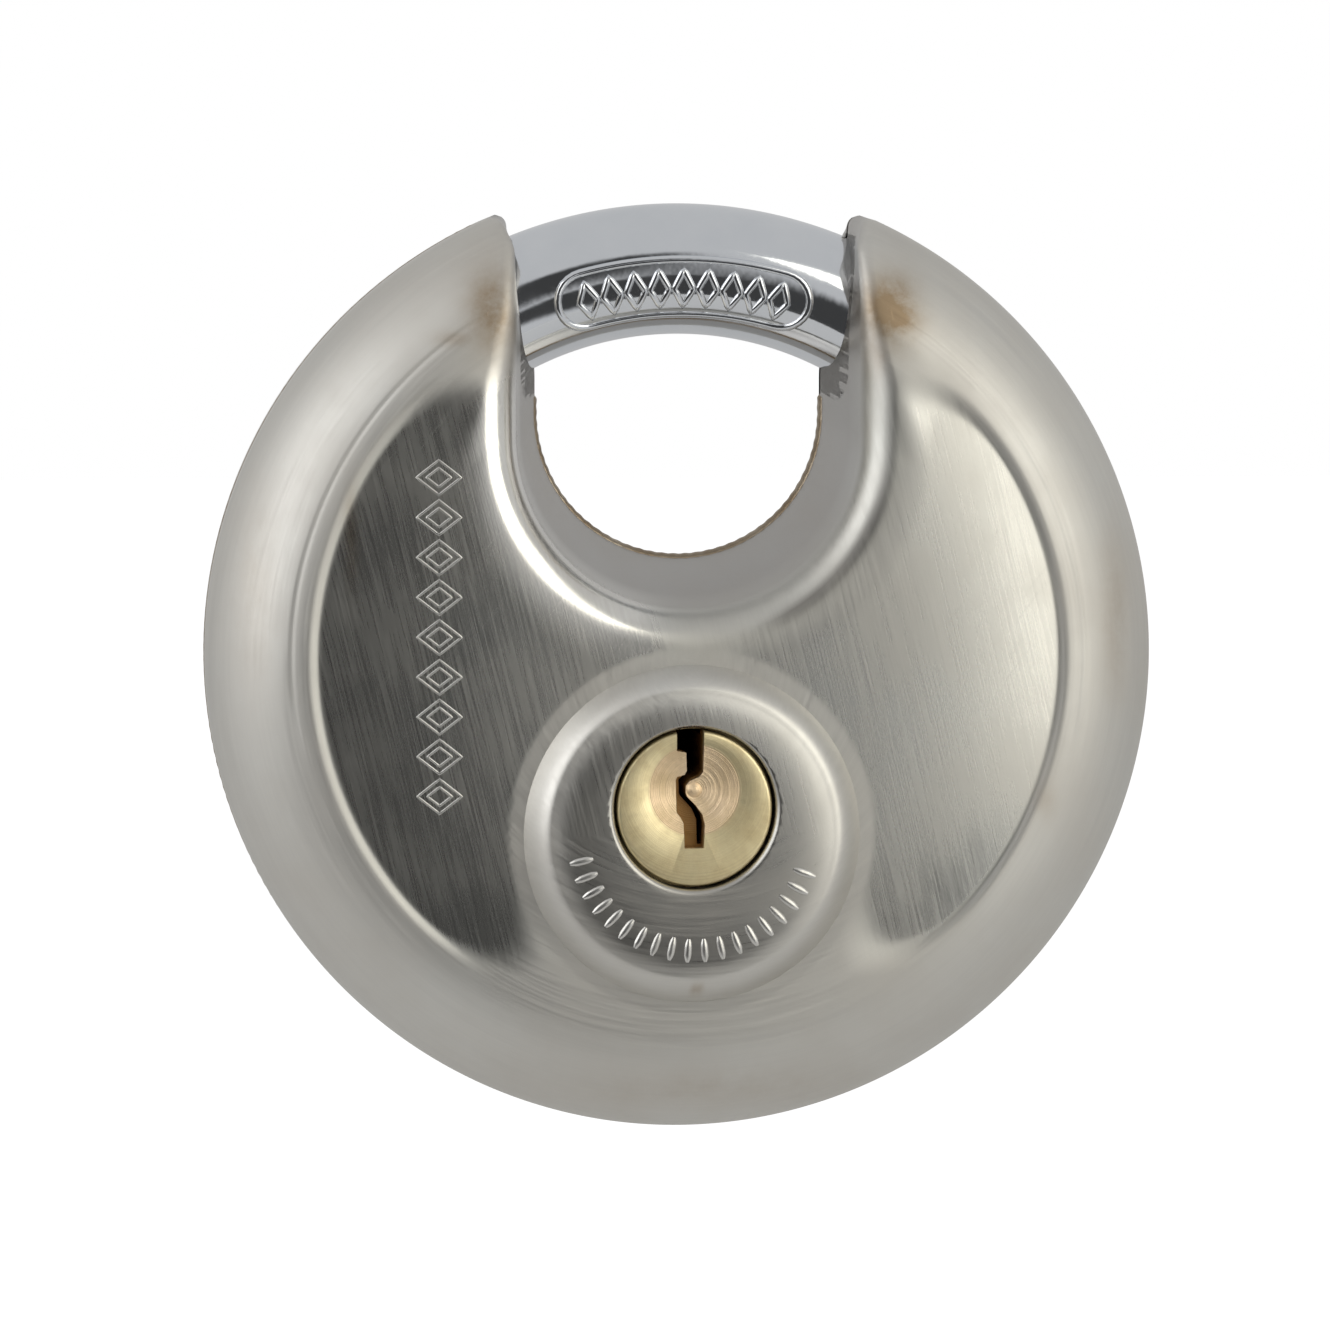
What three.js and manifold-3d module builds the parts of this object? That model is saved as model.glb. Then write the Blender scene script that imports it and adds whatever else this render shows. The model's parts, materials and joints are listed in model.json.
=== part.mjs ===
// Disc padlock: two pressed stainless shells, welded round a pin tumbler lock that swings a ring shackle.
// Millimetres. +X is right and +Z is up as seen from the keyhole side, and the keyhole faces -Y.
// The origin is the middle of the exposed shackle bar, where the lock hangs. The pieces are laid out
// from the centre of the round case, which is one ring radius below it.
import * as THREE from 'three';
import { mergeVertices } from 'three/addons/utils/BufferGeometryUtils.js';
import Module from 'manifold-3d';

// Case
const CASE_RADIUS = 35;
const SHEET = 1.4;
const BOSS_DEPTH = 12.4; // mid-plane to the flat of the boss, and half the lock's thickness
const FLAT_DEPTH = 10.4; // the two crescent flats, as they would be at the middle of the case
const FLAT_CROWN = 1.1; // how much lower the flats are at the rim
const RIM_RISE = 0.42; // height of the rim above the flats
const FALL = { depth: 0.45, reach: 5.2 }; // gentle fall of the face towards the throat
const WALL_DEPTH = 2.2; // where the side wall starts to roll over into the rim
const RIM_ROLL = 7.4;
const BEND = 2.6; // roll between the face and the wall of the throat
const HORN_BEND = 1.2; // the same roll up at the horns
const BOSS = { z: -12.5, flat: 10.3, base: 13.5, foot: 8.1 };
// Towards the rim and the horns the flats are pockets, with slopes of these widths.
// Their corners are rounded by so many widths of slope.
const POCKET = { radius: 28.5, slope: 1.6, rib: 2.2, ribSlope: 3, upperCorner: 2.6, lowerCorner: 6 };
const KEYHOLE_RADIUS = 5.95;
const SEAM_HALF = 0.45; // half the weld seam between the shells

// Throat, as a U: half width, height of the centre of its round end, half width at the horn tips
const THROAT_FACE = { width: 12.5, z: 16.1, tip: 13.2, flare: 2.6 };
const THROAT_SEAM = { width: 10.6, z: 17.7, tip: 12.7, flare: 12 };
const LIP_TOP = 19.1; // the throat wall is notched for the shackle above this

// Shackle
const RING_RADIUS = 28.3;
const BAR_RADIUS = 4.8;
const TOE_ANGLE = 134; // degrees from +X
const TAIL_ANGLE = -67;
const SWING = 74;

// Lock cylinder
const PLUG_Z = -10.65;
const PLUG = { face: -12, head: 5.65, body: 5.3, shoulder: -9.3, back: 4.9, tail: 3, end: 8.2 };
const PLUG_TURN = 0.07; // radians that keep the corners of the turned plug off its pin bores
const TAIL_FLAT = 0.72; // half height of the flatted tail, as a share of its radius
const HOUSING = { front: -9.2, back: 4.8, bore: 5.6, radius: 7.6, blockHalf: 4, depth: 11.5 };
const PIN_COUNT = 4;
const PIN_FIRST_Y = -7.1;
const PIN_PITCH = 3.4;
const PIN_RADIUS = 1.1;
const CHAMBER_RADIUS = 1.4;
const KEY_PIN_LENGTHS = [3.2, 2.7, 3.6, 3];
const DRIVER_LENGTH = 2.6;
const COVER = 0.6;
const SHIELD = { z: -11.5, radius: 7.8, front: -10.5, back: -9.4 }; // hardened washer behind the boss

// Drive: a crank pin behind the plug runs in a slot in the shackle
const CRANK = 15.6;
const DRIVE_PIN = { radius: 1.8, neck: 1.2 };
const SLOT_HALF = 2.15;
const SLOT_FRONT = -1.2;
const CLIP = { neck: 1.9, groove: 7 }; // radius left inside the tail's groove, and the groove's front
const CAM = { front: 5.3, back: 6.9, hub: 5.8, eye: 3 };

// Insert that guides the shackle
const PLATE = { inner: 5, outer: 6.2, radius: 31.3, throat: 14.3 };
const INSERT_THROAT_Z = 16.4;
const BLOCK = { half: 4.9, radius: 23, throat: 13.6, crankSide: 13.8 };
const SWEEP_TOP = -7.6; // the cam and crank pin stay below this
const RIVETS = [[-18.4, 7], [18.4, 7], [-18.4, -4.5], [18.4, -4.5]];
const SHANK = 1.3; // radius of a rivet's shank
const STOP_RADIUS = 2;
const GAP = 0.3;

const halfSwing = THREE.MathUtils.degToRad(SWING / 2);
const halfTurn = halfSwing + Math.asin(-PLUG_Z * Math.sin(halfSwing) / CRANK);
const crankPoint = [CRANK * Math.sin(halfTurn), PLUG_Z - CRANK * Math.cos(halfTurn)];

const wasm = await Module();
wasm.setup();

const STEEL = { color: 0xc9c6bd, roughness: 0.35, metalness: 1 };
const CHROME = { color: 0xd5d8da, roughness: 0.1, metalness: 1 };
const BRASS = { color: 0xc9a458, roughness: 0.3, metalness: 1 };
const HARD_STEEL = { color: 0x777a7d, roughness: 0.45, metalness: 1 };
const ZINC = { color: 0x9a9ca0, roughness: 0.6, metalness: 1 };
const WELD = { color: 0x8f7d68, roughness: 0.5, metalness: 1 };

const lock = new THREE.Group();
lock.position.z = -RING_RADIUS;

function add(name, geometry, finish, x = 0, y = 0, z = 0) {
  const mesh = new THREE.Mesh(geometry, new THREE.MeshStandardMaterial(finish));
  mesh.name = name;
  mesh.position.set(x, y, z);
  lock.add(mesh);
}

// ---- solids and cuts ----

function solid(geometry) {
  const bare = geometry.clone();
  bare.deleteAttribute('normal');
  bare.deleteAttribute('uv');
  const merged = mergeVertices(bare, 1e-4);
  const corners = merged.index.array;
  const faces = [];
  for (let i = 0; i < corners.length; i += 3) {
    const [a, b, c] = corners.slice(i, i + 3);
    if (a !== b && b !== c && c !== a) faces.push(a, b, c);
  }
  return new wasm.Manifold(new wasm.Mesh({
    numProp: 3,
    vertProperties: merged.attributes.position.array,
    triVerts: new Uint32Array(faces),
  }));
}

function cut(geometry, ...cutters) {
  let body = solid(geometry);
  for (const cutter of cutters) body = body.subtract(solid(cutter));
  return fromMesh(body.getMesh());
}

function fromMesh(mesh) {
  const geometry = new THREE.BufferGeometry();
  geometry.setAttribute('position', new THREE.BufferAttribute(mesh.vertProperties, 3));
  geometry.setIndex(new THREE.BufferAttribute(mesh.triVerts, 1));
  geometry.computeVertexNormals();
  return geometry;
}

// A flat shape drawn in the plane seen from the front, from depth y0 to depth y1.
function slab(shape, y0, y1, curveSegments = 12) {
  const geometry = new THREE.ExtrudeGeometry(shape, { depth: y1 - y0, bevelEnabled: false, curveSegments });
  return geometry.rotateX(Math.PI / 2).translate(0, y1, 0);
}

// A turned piece about the Y axis, from [radius, y] points that start and end on the axis.
function turned(points, segments = 32) {
  return new THREE.LatheGeometry(points.map(([radius, y]) => new THREE.Vector2(radius, y)), segments);
}

function rod(radius, y0, y1, segments = 24) {
  return turned([[0, y0], [radius, y0], [radius, y1], [0, y1]], segments);
}

function rodAt(x, z, radius, y0, y1, segments) {
  return rod(radius, y0, y1, segments).translate(x, 0, z);
}

function circleAt(x, z, radius) {
  return new THREE.Shape().absarc(x, z, radius, 0, 2 * Math.PI);
}

function rectangle(x0, z0, x1, z1) {
  return new THREE.Shape([[x0, z0], [x1, z0], [x1, z1], [x0, z1]].map((p) => new THREE.Vector2(...p)));
}

// ---- pressed shells ----

function smooth(t) {
  const clamped = THREE.MathUtils.clamp(t, 0, 1);
  return clamped * clamped * (3 - 2 * clamped);
}

// Quarter round: 0 at the edge, 1 once inside by the radius.
function roll(distance, radius) {
  const outside = 1 - THREE.MathUtils.clamp(distance / radius, 0, 1);
  return Math.sqrt(1 - outside * outside);
}

// The throat outline at one level, grown by an offset into the sheet.
function throatLevel({ width, z, tip, flare }, offset) {
  const tipX = tip + offset;
  const tipZ = Math.sqrt((CASE_RADIUS - offset) ** 2 - tipX ** 2);
  const widthAt = (height) => {
    const share = smooth((height - tipZ + flare) / flare);
    return THREE.MathUtils.lerp(width + offset, tipX, share);
  };
  return { z, tipX, tipZ, widthAt };
}

const SIDE_SHARE = 0.23; // share of the U's points that lie on each straight side

function throatPoint({ z, tipZ, widthAt }, share) {
  if (share < SIDE_SHARE || share > 1 - SIDE_SHARE) {
    const down = Math.min(share, 1 - share) / SIDE_SHARE;
    const height = THREE.MathUtils.lerp(tipZ, z, down);
    return [Math.sign(share - 0.5) * widthAt(height), height];
  }
  const angle = Math.PI * (1 + (share - SIDE_SHARE) / (1 - 2 * SIDE_SHARE));
  const radius = widthAt(z);
  return [radius * Math.cos(angle), z + radius * Math.sin(angle)];
}

// Distance from the throat's outline, out into the face.
function throatDistance({ z, widthAt }, x, height) {
  if (height > z) return Math.abs(x) - widthAt(height);
  return Math.hypot(x, height - z) - widthAt(z);
}

// Distance into a pocket with two sides and a rounded corner, from the distance to each side.
function rounded(first, second, corner) {
  return corner - Math.hypot(Math.max(corner - first, 0), Math.max(corner - second, 0));
}

// 1 on the crescent flats, 0 on the rim and on the rib round the throat.
function pocketShare(x, z, throat, offset) {
  const fromRim = (POCKET.radius - Math.hypot(x, z)) / POCKET.slope;
  const fromRib = (throat + offset - POCKET.rib) / POCKET.ribSlope;
  const fromBoss = (Math.hypot(x, z - BOSS.z) - BOSS.base) / POCKET.slope + 1;
  const upper = smooth(rounded(fromRim, fromRib, POCKET.upperCorner));
  return upper * smooth(rounded(fromRim, fromBoss, POCKET.lowerCorner));
}

// Depth of the face from the mid-plane, boss left out.
// An offset of 0 gives the outside of the sheet and an offset of SHEET its inside.
function faceDepth(x, z, level, offset) {
  const radius = Math.hypot(x, z);
  const throat = throatDistance(level, x, z);
  const flat = FLAT_DEPTH - FLAT_CROWN * (radius / POCKET.radius) ** 4;
  const rise = RIM_RISE * smooth((radius - 21) / 5) * (1 - pocketShare(x, z, throat, offset));
  const fall = FALL.depth * THREE.MathUtils.clamp(1 - (throat + offset) / FALL.reach, 0, 1) ** 2;
  const face = flat + rise - fall - offset;
  const rolled = WALL_DEPTH + (face - WALL_DEPTH) * roll(CASE_RADIUS - offset - radius, RIM_ROLL - offset);
  const reach = THREE.MathUtils.lerp(BEND, HORN_BEND, smooth((z - 19) / 7));
  return rolled - Math.min(reach, rolled / 2) * (1 - roll(throat, reach));
}

const COLUMNS = 44;
const RIM_ROWS = 4;
const FACE_ROWS = 8;
const BEND_ROWS = 2;

// Shares of the way from the case's edge to the throat's edge, closer together where the sheet bends.
function rowShares(length) {
  const rim = Math.min(RIM_ROLL, 0.45 * length) / length;
  const bend = Math.min(BEND, 0.1 * length) / length;
  const shares = [];
  for (let i = 0; i < RIM_ROWS; i++) shares.push(rim * (1 - Math.cos(i / RIM_ROWS * Math.PI / 2)));
  for (let i = 0; i < FACE_ROWS; i++) shares.push(rim + (1 - bend - rim) * i / FACE_ROWS);
  for (let i = 0; i <= BEND_ROWS; i++) shares.push(1 - bend + bend * Math.sin(i / BEND_ROWS * Math.PI / 2));
  return shares;
}

// One skin of a shell as columns of [x, depth, z] from the case's edge to the throat's edge.
function skin(offset) {
  const face = throatLevel(THROAT_FACE, offset);
  const seam = throatLevel(THROAT_SEAM, offset);
  const first = Math.atan2(face.tipZ, -face.tipX);
  const last = 3 * Math.PI - first;
  const columns = [];
  for (let i = 0; i <= COLUMNS; i++) {
    const share = i / COLUMNS;
    const angle = THREE.MathUtils.lerp(first, last, share);
    const [x0, z0] = [Math.cos(angle), Math.sin(angle)].map((v) => v * (CASE_RADIUS - offset));
    const [x1, z1] = throatPoint(face, share);
    const column = [[x0, SEAM_HALF, z0]];
    for (const along of rowShares(Math.max(Math.hypot(x1 - x0, z1 - z0), 0.5))) {
      const x = THREE.MathUtils.lerp(x0, x1, along);
      const z = THREE.MathUtils.lerp(z0, z1, along);
      column.push([x, faceDepth(x, z, face, offset), z]);
    }
    const [x2, z2] = throatPoint(seam, share);
    column.push([x2, SEAM_HALF, z2]);
    columns.push(column);
  }
  return columns;
}

// The two skins joined along their edges, as a rear shell with no boss.
function sheet() {
  const outer = skin(0);
  const inner = skin(SHEET);
  const rows = outer[0].length;
  const at = (layer, column, row) => (layer * (COLUMNS + 1) + column) * rows + row;
  const faces = [];
  const quad = (a, b, c, d) => faces.push(a, c, b, a, d, c);
  for (let i = 0; i < COLUMNS; i++) {
    for (let j = 0; j < rows - 1; j++) {
      quad(at(0, i, j), at(0, i + 1, j), at(0, i + 1, j + 1), at(0, i, j + 1));
      quad(at(1, i, j), at(1, i, j + 1), at(1, i + 1, j + 1), at(1, i + 1, j));
    }
    quad(at(0, i, 0), at(1, i, 0), at(1, i + 1, 0), at(0, i + 1, 0));
    quad(at(0, i, rows - 1), at(0, i + 1, rows - 1), at(1, i + 1, rows - 1), at(1, i, rows - 1));
  }
  for (let j = 0; j < rows - 1; j++) {
    quad(at(0, 0, j), at(0, 0, j + 1), at(1, 0, j + 1), at(1, 0, j));
    quad(at(0, COLUMNS, j), at(1, COLUMNS, j), at(1, COLUMNS, j + 1), at(0, COLUMNS, j + 1));
  }
  const geometry = new THREE.BufferGeometry();
  geometry.setAttribute('position', new THREE.Float32BufferAttribute([...outer, ...inner].flat(2), 3));
  geometry.setIndex(faces);
  return geometry;
}

// The boss of the rear shell, or with an offset of SHEET the hollow inside it.
function bossForm(offset) {
  const steps = 5;
  const start = BOSS.foot - (offset ? 3 * SHEET : 0.3);
  const points = [[0, start], [BOSS.base - offset / 2, start]];
  for (let i = 0; i <= steps; i++) {
    const rise = 0.5 * (smooth(i / steps) + roll(i, steps));
    const radius = THREE.MathUtils.lerp(BOSS.base, BOSS.flat, i / steps) - offset / 2;
    points.push([radius, THREE.MathUtils.lerp(BOSS.foot, BOSS_DEPTH, rise) - offset]);
  }
  points.push([0, BOSS_DEPTH - offset]);
  return turned(points, 40).translate(0, 0, BOSS.z);
}

function rearShell() {
  const pressed = solid(sheet()).add(solid(bossForm(0)));
  return cut(fromMesh(pressed.getMesh()), bossForm(SHEET), passage());
}

// Ring-shaped passage for the shackle, cut through the throat walls.
function passage() {
  const corner = 2.6;
  const half = BAR_RADIUS + 2 * GAP;
  const inner = Math.hypot(THROAT_SEAM.width, LIP_TOP);
  const outer = CASE_RADIUS - SHEET - 0.1;
  const section = new THREE.Shape();
  section.absarc(inner + corner, corner - half, corner, Math.PI, 1.5 * Math.PI);
  section.absarc(outer - corner, corner - half, corner, 1.5 * Math.PI, 2 * Math.PI);
  section.absarc(outer - corner, half - corner, corner, 0, 0.5 * Math.PI);
  section.absarc(inner + corner, half - corner, corner, 0.5 * Math.PI, Math.PI);
  const points = section.getPoints(2);
  points.push(points[0].clone());
  const ring = new THREE.LatheGeometry(points, 40);
  return cut(ring, slab(rectangle(-40, -40, 40, THROAT_FACE.z), -10, 10));
}

function frontShell() {
  const keyhole = rodAt(0, PLUG_Z, KEYHOLE_RADIUS, BOSS_DEPTH - SHEET - 1, BOSS_DEPTH + 1, 40);
  return cut(rearShell(), keyhole).rotateZ(Math.PI);
}

// ---- weld beads ----

function rimWeld() {
  const [outer, inner] = [CASE_RADIUS + 0.15, CASE_RADIUS - 1.1];
  const first = Math.acos(THROAT_SEAM.tip / CASE_RADIUS);
  const shape = new THREE.Shape();
  shape.absarc(0, 0, outer, Math.PI - first, first, false);
  shape.absarc(0, 0, inner, first, Math.PI - first, true);
  const half = SEAM_HALF - 0.05;
  return slab(shape, -half, half, 32);
}

function throatWeld() {
  const [inner, outer] = [THROAT_SEAM.width - 0.05, THROAT_SEAM.width + SHEET - GAP];
  const top = LIP_TOP - 0.2;
  const shape = new THREE.Shape();
  shape.moveTo(-outer, top);
  shape.absarc(0, THROAT_SEAM.z, outer, Math.PI, 2 * Math.PI, false);
  shape.lineTo(outer, top);
  shape.lineTo(inner, top);
  shape.absarc(0, THROAT_SEAM.z, inner, 2 * Math.PI, Math.PI, true);
  shape.lineTo(-inner, top);
  const half = SEAM_HALF - 0.05;
  return slab(shape, -half, half, 16);
}

// ---- shackle ----

function ringPoint(angle, radius = RING_RADIUS) {
  const turn = THREE.MathUtils.degToRad(angle);
  return [radius * Math.cos(turn), radius * Math.sin(turn)];
}

class RingPath extends THREE.Curve {
  getPoint(share, target = new THREE.Vector3()) {
    const [x, z] = ringPoint(THREE.MathUtils.lerp(TOE_ANGLE, TAIL_ANGLE, share));
    return target.set(x, 0, z);
  }
}

function shackle() {
  const bar = new THREE.ExtrudeGeometry(circleAt(0, 0, BAR_RADIUS), {
    extrudePath: new RingPath(),
    steps: 36,
    curveSegments: 10,
  });
  const slotEnd = -PLUG_Z + CRANK;
  const slot = new THREE.Shape();
  slot.absarc(slotEnd + 0.2, 0, SLOT_HALF, -Math.PI / 2, Math.PI / 2);
  slot.lineTo(RING_RADIUS - BAR_RADIUS - 3, SLOT_HALF);
  slot.lineTo(RING_RADIUS - BAR_RADIUS - 3, -SLOT_HALF);
  const cutter = slab(slot, SLOT_FRONT, BAR_RADIUS + 1, 10);
  return cut(bar, cutter.rotateY(Math.PI / 2 - halfSwing));
}

// ---- lock cylinder ----

const pinY = (index) => PIN_FIRST_Y + index * PIN_PITCH;
const pinRod = (radius, z0, z1) => rod(radius, -z1, -z0, 16).rotateX(-Math.PI / 2);

// The crooked keyway, open at the top of the plug.
function keyway() {
  const outline = [
    [-1.35, 6], [-1.35, 4.1], [-0.45, 4.1], [-0.45, 2.3], [-1.35, 2], [-1.35, -0.2], [-0.45, -0.8],
    [-0.45, -3.1], [0.85, -3.1], [0.85, -0.6], [-0.3, 0.3], [-0.3, 1.6], [0.9, 2.3], [0.9, 6],
  ];
  const shape = new THREE.Shape(outline.map(([x, z]) => new THREE.Vector2(x, z)));
  return slab(shape, PLUG.face - 1, PLUG.back - 0.6).translate(0, 0, PLUG_Z);
}

// Flats on both sides of a round tail, so that the cam turns with it.
function flatted(radius, gap = 0) {
  const half = radius * TAIL_FLAT + gap;
  const angle = Math.asin(half / (radius + gap));
  const shape = new THREE.Shape();
  shape.absarc(0, PLUG_Z, radius + gap, -angle, angle);
  shape.absarc(0, PLUG_Z, radius + gap, Math.PI - angle, Math.PI + angle);
  return shape;
}

function plug() {
  const { face, head, body, shoulder, back, tail, end } = PLUG;
  const dish = 3.3;
  const turnedBody = turned([
    [0, face + 0.35], [dish - 0.5, face + 0.2], [dish, face], [head - 0.5, face], [head, face + 0.5],
    [head, shoulder], [body, shoulder], [body, back], [0, back],
  ], 32).rotateY(PLUG_TURN).translate(0, 0, PLUG_Z);
  const grooveDisc = rodAt(0, PLUG_Z, tail + 1, CLIP.groove, CLIP.groove + 0.7);
  const clipGroove = cut(grooveDisc, rodAt(0, PLUG_Z, CLIP.neck, back, end + 1));
  const tailRod = cut(slab(flatted(tail), back - 0.5, end), clipGroove);
  const whole = fromMesh(solid(turnedBody).add(solid(tailRod)).getMesh());
  const bores = [];
  for (let i = 0; i < PIN_COUNT; i++) {
    bores.push(pinRod(CHAMBER_RADIUS, -head - 1, -1.2).translate(0, pinY(i), PLUG_Z));
  }
  return cut(whole, keyway(), ...bores);
}

function chamberBlock(gap, bottom) {
  return rectangle(-HOUSING.blockHalf - gap, PLUG_Z - bottom - gap, HOUSING.blockHalf + gap, PLUG_Z);
}

// The housing's outline from the front, grown by a gap, as cutters or pieces between two depths.
function housingForm(y0, y1, gap, bottom) {
  const round = solid(rodAt(0, PLUG_Z, HOUSING.radius + gap, y0, y1, 40));
  return fromMesh(round.add(solid(slab(chamberBlock(gap, bottom), y0, y1))).getMesh());
}

const DOWEL_RADIUS = 1.1;
const DOWEL_X = HOUSING.radius + GAP / 2; // half in the housing and half in the guide block

function dowelGrooves() {
  const end = BLOCK.half + 0.5;
  return [-1, 1].map((side) => rodAt(side * DOWEL_X, PLUG_Z, DOWEL_RADIUS + GAP, -end, end));
}

function housing() {
  const { front, back, bore, depth } = HOUSING;
  const chambers = [];
  for (let i = 0; i < PIN_COUNT; i++) {
    chambers.push(pinRod(CHAMBER_RADIUS, -depth - 1, -bore + 1).translate(0, pinY(i), PLUG_Z));
  }
  const core = rodAt(0, PLUG_Z, bore, front - 1, back + 1, 40);
  return cut(housingForm(front, back, 0, depth), core, ...chambers, ...dowelGrooves());
}

function chamberCover() {
  const top = PLUG_Z - HOUSING.depth - 0.05;
  const half = HOUSING.blockHalf - 0.4;
  return slab(rectangle(-half, top - COVER, half, top), HOUSING.front + 0.6, HOUSING.back - 0.2);
}

// A key pin has a pointed top that meets the key's bitting.
function keyPin(length) {
  const r = PIN_RADIUS;
  const points = [[0, 0], [r - 0.15, 0], [r, 0.15], [r, length - 0.8], [0.35, length], [0, length]];
  return turned(points, 16).rotateX(Math.PI / 2);
}

function driverPin() {
  const [r, low] = [PIN_RADIUS, -DRIVER_LENGTH];
  const points = [[0, low], [r - 0.2, low], [r, low + 0.2], [r, -0.15], [r - 0.15, 0], [0, 0]];
  return turned(points, 16).rotateX(Math.PI / 2);
}

const SPRING = { wire: 0.16, radius: 0.85, turns: 3.5 };
const springTop = -PLUG.body - 0.15 - DRIVER_LENGTH - 0.25;
const springBottom = -HOUSING.depth + 0.25;

class SpringPath extends THREE.Curve {
  getPoint(share, target = new THREE.Vector3()) {
    const turn = share * SPRING.turns * 2 * Math.PI;
    const height = THREE.MathUtils.lerp(springBottom, springTop, share);
    return target.set(SPRING.radius * Math.cos(turn), SPRING.radius * Math.sin(turn), height);
  }
}

function pinSpring() {
  return new THREE.ExtrudeGeometry(circleAt(0, 0, SPRING.wire), {
    extrudePath: new SpringPath(),
    steps: SPRING.turns * 8,
    curveSegments: 3,
  });
}

function drillShield() {
  const disc = rodAt(0, SHIELD.z, SHIELD.radius, SHIELD.front, SHIELD.back, 40);
  return cut(disc, rodAt(0, PLUG_Z, KEYHOLE_RADIUS, -20, 0, 40));
}

// ---- drive ----

// A lever outline: two round ends joined by their common tangents.
function leverShape(x0, z0, r0, x1, z1, r1) {
  const lean = Math.atan2(z1 - z0, x1 - x0);
  const spread = Math.acos((r0 - r1) / Math.hypot(x1 - x0, z1 - z0));
  const shape = new THREE.Shape();
  shape.absarc(x0, z0, r0, lean + spread, lean + 2 * Math.PI - spread, false);
  shape.absarc(x1, z1, r1, lean - spread, lean + spread, false);
  return shape;
}

function driveCam() {
  const lever = slab(leverShape(0, PLUG_Z, CAM.hub, ...crankPoint, CAM.eye), CAM.front, CAM.back, 16);
  const tailHole = slab(flatted(PLUG.tail, 0.15), CAM.front - 1, CAM.back + 1);
  const pinHole = rodAt(...crankPoint, DRIVE_PIN.neck + 0.15, CAM.front - 1, CAM.back + 1);
  return cut(lever, tailHole, pinHole);
}

function drivePin() {
  const { radius, neck } = DRIVE_PIN;
  const [front, step] = [SLOT_FRONT + 0.4, CAM.front - 0.1];
  const shaft = [[0, front], [radius, front], [radius, step]];
  const end = [[neck, step], [neck, CAM.back], [0, CAM.back]];
  return turned([...shaft, ...end], 24).translate(crankPoint[0], 0, crankPoint[1]);
}

function camClip() {
  const shape = new THREE.Shape();
  const [inner, outer, opening] = [CLIP.neck + 0.2, PLUG.tail + 1.6, 0.6];
  shape.absarc(0, PLUG_Z, outer, opening, 2 * Math.PI - opening, false);
  shape.absarc(0, PLUG_Z, inner, 2 * Math.PI - opening, opening, true);
  return slab(shape, CLIP.groove + 0.1, CLIP.groove + 0.6, 12);
}

// ---- insert ----

// A C outline inside the case: round outside, with a U for the throat.
function insertShape(radius, halfWidth) {
  const side = Math.acos(halfWidth / radius);
  const shape = new THREE.Shape();
  shape.absarc(0, 0, radius, Math.PI - side, side, false);
  shape.lineTo(halfWidth, INSERT_THROAT_Z);
  shape.absarc(0, INSERT_THROAT_Z, halfWidth, 2 * Math.PI, Math.PI, true);
  return shape;
}

function rivetHoles() {
  return RIVETS.map(([x, z]) => rodAt(x, z, SHANK + GAP, -10, 10, 20));
}

// The pocket for the housing is open below, past the end of the chamber block.
function guideBlock() {
  const wide = slab(insertShape(BLOCK.radius, BLOCK.throat), -BLOCK.half, BLOCK.half, 24);
  const below = slab(rectangle(-40, -40, 40, SWEEP_TOP), -10, 10);
  const kept = rodAt(0, PLUG_Z, BLOCK.crankSide, -11, 11, 48);
  const swept = fromMesh(solid(below).subtract(solid(kept)).getMesh());
  const pocket = housingForm(-10, 10, GAP, HOUSING.depth + COVER + 4);
  return cut(wide, swept, pocket, ...dowelGrooves(), ...rivetHoles());
}

function frontPlate() {
  const sheet = slab(insertShape(PLATE.radius, PLATE.throat), -PLATE.outer, -PLATE.inner, 24);
  return cut(sheet, housingForm(-10, 10, GAP, HOUSING.depth + COVER), ...rivetHoles());
}

function rearPlate() {
  const sheet = slab(insertShape(PLATE.radius, PLATE.throat), PLATE.inner, PLATE.outer, 24);
  const sweep = solid(rodAt(0, PLUG_Z, CRANK + CAM.eye + 0.4, 0, 10, 48));
  const above = solid(slab(rectangle(-40, SWEEP_TOP, 40, 40), -1, 11));
  const hub = rodAt(0, PLUG_Z, CAM.hub + 1.8, 0, 10, 32);
  return cut(sheet, fromMesh(sweep.subtract(above).getMesh()), hub, ...rivetHoles());
}

function rivet() {
  const [head, high] = [2.4, PLATE.outer + 0.05];
  return turned([
    [0, -high - 0.7], [head - 0.6, -high - 0.7], [head, -high], [SHANK, -high],
    [SHANK, high], [head, high], [head - 0.6, high + 0.7], [0, high + 0.7],
  ], 20);
}

function stopPin() {
  return rod(STOP_RADIUS, -PLATE.inner + 0.05, PLATE.inner - 0.05, 20);
}

// ---- assembly ----

add('front_shell', frontShell(), STEEL);
add('rear_shell', rearShell(), STEEL);
add('rim_weld', rimWeld(), WELD);
add('throat_weld', throatWeld(), WELD);
add('shackle', shackle(), CHROME);
add('drill_shield', drillShield(), HARD_STEEL);
add('cylinder_housing', housing(), BRASS);
add('chamber_cover', chamberCover(), BRASS);
add('plug', plug(), BRASS);
for (let i = 0; i < PIN_COUNT; i++) {
  const number = i + 1;
  add(`key_pin_${number}`, keyPin(KEY_PIN_LENGTHS[i]), BRASS, 0, pinY(i), PLUG_Z - PLUG.body + 0.05);
  add(`driver_pin_${number}`, driverPin(), HARD_STEEL, 0, pinY(i), PLUG_Z - PLUG.body - 0.15);
  add(`pin_spring_${number}`, pinSpring(), HARD_STEEL, 0, pinY(i), PLUG_Z);
}
add('drive_cam', driveCam(), HARD_STEEL);
add('drive_pin', drivePin(), HARD_STEEL);
add('cam_clip', camClip(), HARD_STEEL);
add('guide_block', guideBlock(), ZINC);
add('front_plate', frontPlate(), HARD_STEEL);
add('rear_plate', rearPlate(), HARD_STEEL);
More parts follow.
